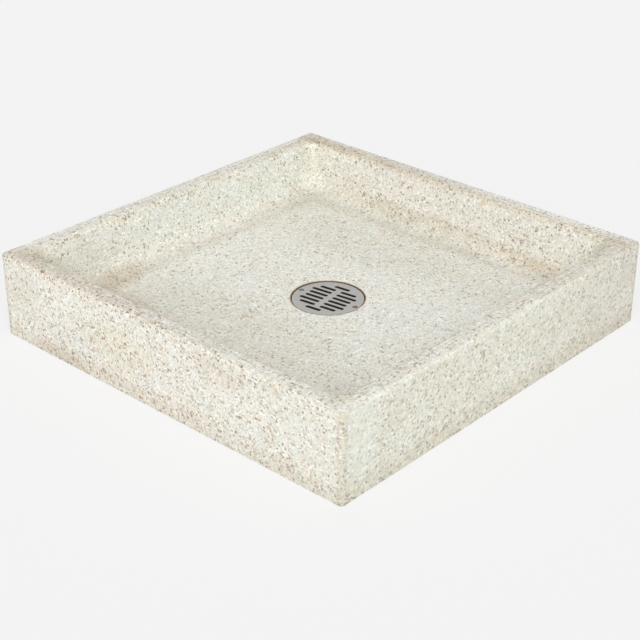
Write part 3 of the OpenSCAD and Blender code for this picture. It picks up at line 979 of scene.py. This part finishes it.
def screwRows(size):
    # radius, level and thread share, from the tip's middle up to the head's middle
    radius, head, length, tip = size["radius"], size["head"], size["length"], size["tip"]
    edge, band = size["headEdge"], size["headBand"]
    neck = length - (head - radius)
    threaded = neck - size["threadStop"] - tip
    rows = [(0.0, 0.0, 0.0), (radius - size["threadDepth"] - tip, 0.0, 0.0)]
    count = round(threaded / (size["pitch"] / size["rowsPerTurn"]))
    for i in range(count + 1):
        level = tip + threaded * i / count
        rows.append((radius, level, min(1.0, (neck - level) / size["runOut"])))
    rows += [(radius, neck, 0.0), (head - edge, length - 2 * band, 0.0), (head, length - band, 0.0),
             (head - edge, length, 0.0), (0.0, length, 0.0)]
    return rows


def slotCutter(name, size, spot, turn):
    # a block that is turned and laid across the head, half of it above the face
    shape = bmesh.new()
    bmesh.ops.create_cube(shape, size=1.0)
    acrossHead = size["head"] * 2.4
    grow = Matrix.Diagonal((acrossHead * mm, size["slotWidth"] * mm, size["slotDepth"] * 2 * mm, 1))
    shape.transform(Matrix.Translation(spot * mm) @ Matrix.Rotation(turn, 4, "Z") @ grow)
    block = bpy.data.meshes.new(name)
    shape.to_mesh(block)
    shape.free()
    return addObject(name, block)


def makeScrew(name, size, drain, side, material):
    turn = math.radians(drain["turn"])
    x = drain["x"] - side * strainer["screwCircle"] * math.sin(turn)
    y = drain["y"] + side * strainer["screwCircle"] * math.cos(turn)
    tip = Vector((x, y, strainer["top"] - size["length"]))
    mesh = outlineMesh(name + "Section", screwRows(size), ("turned", "level", "thread"), closed=False)
    values = {"Sides": size["sides"], "Centre": tip * mm, "Pitch": size["pitch"],
              "Thread Depth": size["threadDepth"], "Material": material}
    piece = growPiece(name, mesh, turnTree, values, 50)
    face = Vector((x, y, strainer["top"]))
    tool = slotCutter(name + "Slot", size, face, turn + side * rightAngle + math.radians(size["slotTurn"]))
    cut = piece.modifiers.new("slot", "BOOLEAN")
    cut.operation = "DIFFERENCE"
    cut.solver = "EXACT"
    cut.object = tool
    slotted = shapedMesh(piece)
    piece.modifiers.remove(cut)
    bpy.data.objects.remove(tool)
    piece.data = slotted
    settled(slotted, 30)
    return piece


terrazzoStone = makeTerrazzo("terrazzo", terrazzo, (drain["x"], drain["y"], drain["level"]))
plateSteel = makeTurnedSteel("satinPlate", plateFinish, (drain["x"], drain["y"], 0.0), strainer["top"])
screwSteel = makeMetal("screwSteel")
drainBrass = makeMetal("tarnishedBrass", drain["level"] - drainDirtAndShade["depth"])
ringBrass = makeMetal("machinedBrass")
zinc = makeMetal("dullZinc")
rubber = makeRubber("gasketRubber", rubberFinish)
print("materials made")


def dress(piece, body, node):
    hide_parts(node)
    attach(piece, body)


dress(makeBasin(basin, drain, terrazzoStone), "basin", "terrazzo_basin")
dress(makeStrainer(strainer, drain, plateSteel), "strainer", "strainer")
dress(makeScrew("screwLeft", screw, drain, 1, screwSteel), "screw_left", "strainer_screw_left")
dress(makeScrew("screwRight", screw, drain, -1, screwSteel), "screw_right", "strainer_screw_right")

for node, material in (("drain_body", drainBrass), ("compression_ring", ringBrass), ("pipe_gasket", rubber),
                       ("reinforcing_mesh", zinc), ("curb_hoop", zinc)):
    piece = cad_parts[node]
    piece.data.materials.clear()
    piece.data.materials.append(material)
print("drain, gasket and reinforcement finished")


studio = {
    "floorSpan": 60000.0,
    "covered": 372.0,  # the floor under the basin, seen through the drain, keeps all its shade
    "coveredEdge": 4.0,
    "floorTone": (244, 244, 244),
    "floorBounce": (228, 228, 228),  # how the floor looks to the light that it throws back
    "floorShadow": 0.3,  # how much of its shading the camera sees
    "backdrop": (244, 244, 244),
    "skyLevel": 0.515,
    "keyLevel": 0.70,  # light on a surface that faces the key lamp
    "keyFrom": (-0.37, -0.31, 0.42),
    "keySoftness": 50.0,  # degrees
}


def seenRays(tree):
    # 1 for rays that show the surface to the camera, straight or by way of metal and glass
    path = addNode(tree, "ShaderNodeLightPath").outputs
    mirrored = calc(tree, "MAXIMUM", path["Is Glossy Ray"], path["Is Transmission Ray"])
    return calc(tree, "MAXIMUM", path["Is Camera Ray"], mirrored)


def mixShaders(tree, amount, first, second, output):
    both = addNode(tree, "ShaderNodeMixShader", {"Fac": amount})
    tree.links.new(first, both.inputs[1])
    tree.links.new(second, both.inputs[2])
    tree.links.new(both.outputs["Shader"], tree.nodes[output].inputs["Surface"])


def makeFloor(studio):
    reach = studio["floorSpan"] / 2 * mm
    corners = [(-reach, -reach, 0), (reach, -reach, 0), (reach, reach, 0), (-reach, reach, 0)]
    mesh = bpy.data.meshes.new("floor")
    mesh.from_pydata(corners, [], [(0, 1, 2, 3)])
    material, tree, shader, point = newMaterial("floorPaper")
    seen = seenRays(tree)
    x, y, _ = separate(tree, point)
    out = calc(tree, "MAXIMUM", calc(tree, "ABSOLUTE", x), calc(tree, "ABSOLUTE", y))
    uncovered = fade(tree, out, studio["covered"], studio["covered"] + studio["coveredEdge"])
    lifted = times(tree, times(tree, seen, uncovered), 1 - studio["floorShadow"])
    colour = blend(tree, seen, studio["floorBounce"], studio["floorTone"])
    coat(tree, shader, colour, 0.9)
    shader.inputs["Specular IOR Level"].default_value = 0.0
    glow = addNode(tree, "ShaderNodeEmission", {"Color": paint(*studio["floorTone"])})
    mixShaders(tree, lifted, shader.outputs["BSDF"], glow.outputs["Emission"], "Material Output")
    mesh.materials.append(material)
    addObject("floor", mesh)


def makeLight(studio):
    world = bpy.data.worlds.new("studio")
    bpy.context.scene.world = world
    world.use_nodes = True
    tree = world.node_tree
    sky = tree.nodes["Background"]
    sky.inputs["Color"].default_value = (1, 1, 1, 1)
    sky.inputs["Strength"].default_value = studio["skyLevel"]
    backdrop = addNode(tree, "ShaderNodeBackground", {"Color": paint(*studio["backdrop"]), "Strength": 1.0})
    lit, shown = sky.outputs["Background"], backdrop.outputs["Background"]
    mixShaders(tree, seenRays(tree), lit, shown, "World Output")
    lamp = bpy.data.lights.new("key", "SUN")
    lamp.energy = studio["keyLevel"] * math.pi
    lamp.angle = math.radians(studio["keySoftness"])
    key = addObject("key", lamp)
    key.rotation_mode = "QUATERNION"
    key.rotation_quaternion = Vector(studio["keyFrom"]).to_track_quat("Z", "Y")


makeFloor(studio)
makeLight(studio)
bpy.context.scene.view_settings.view_transform = "Standard"
print("floor and light set")
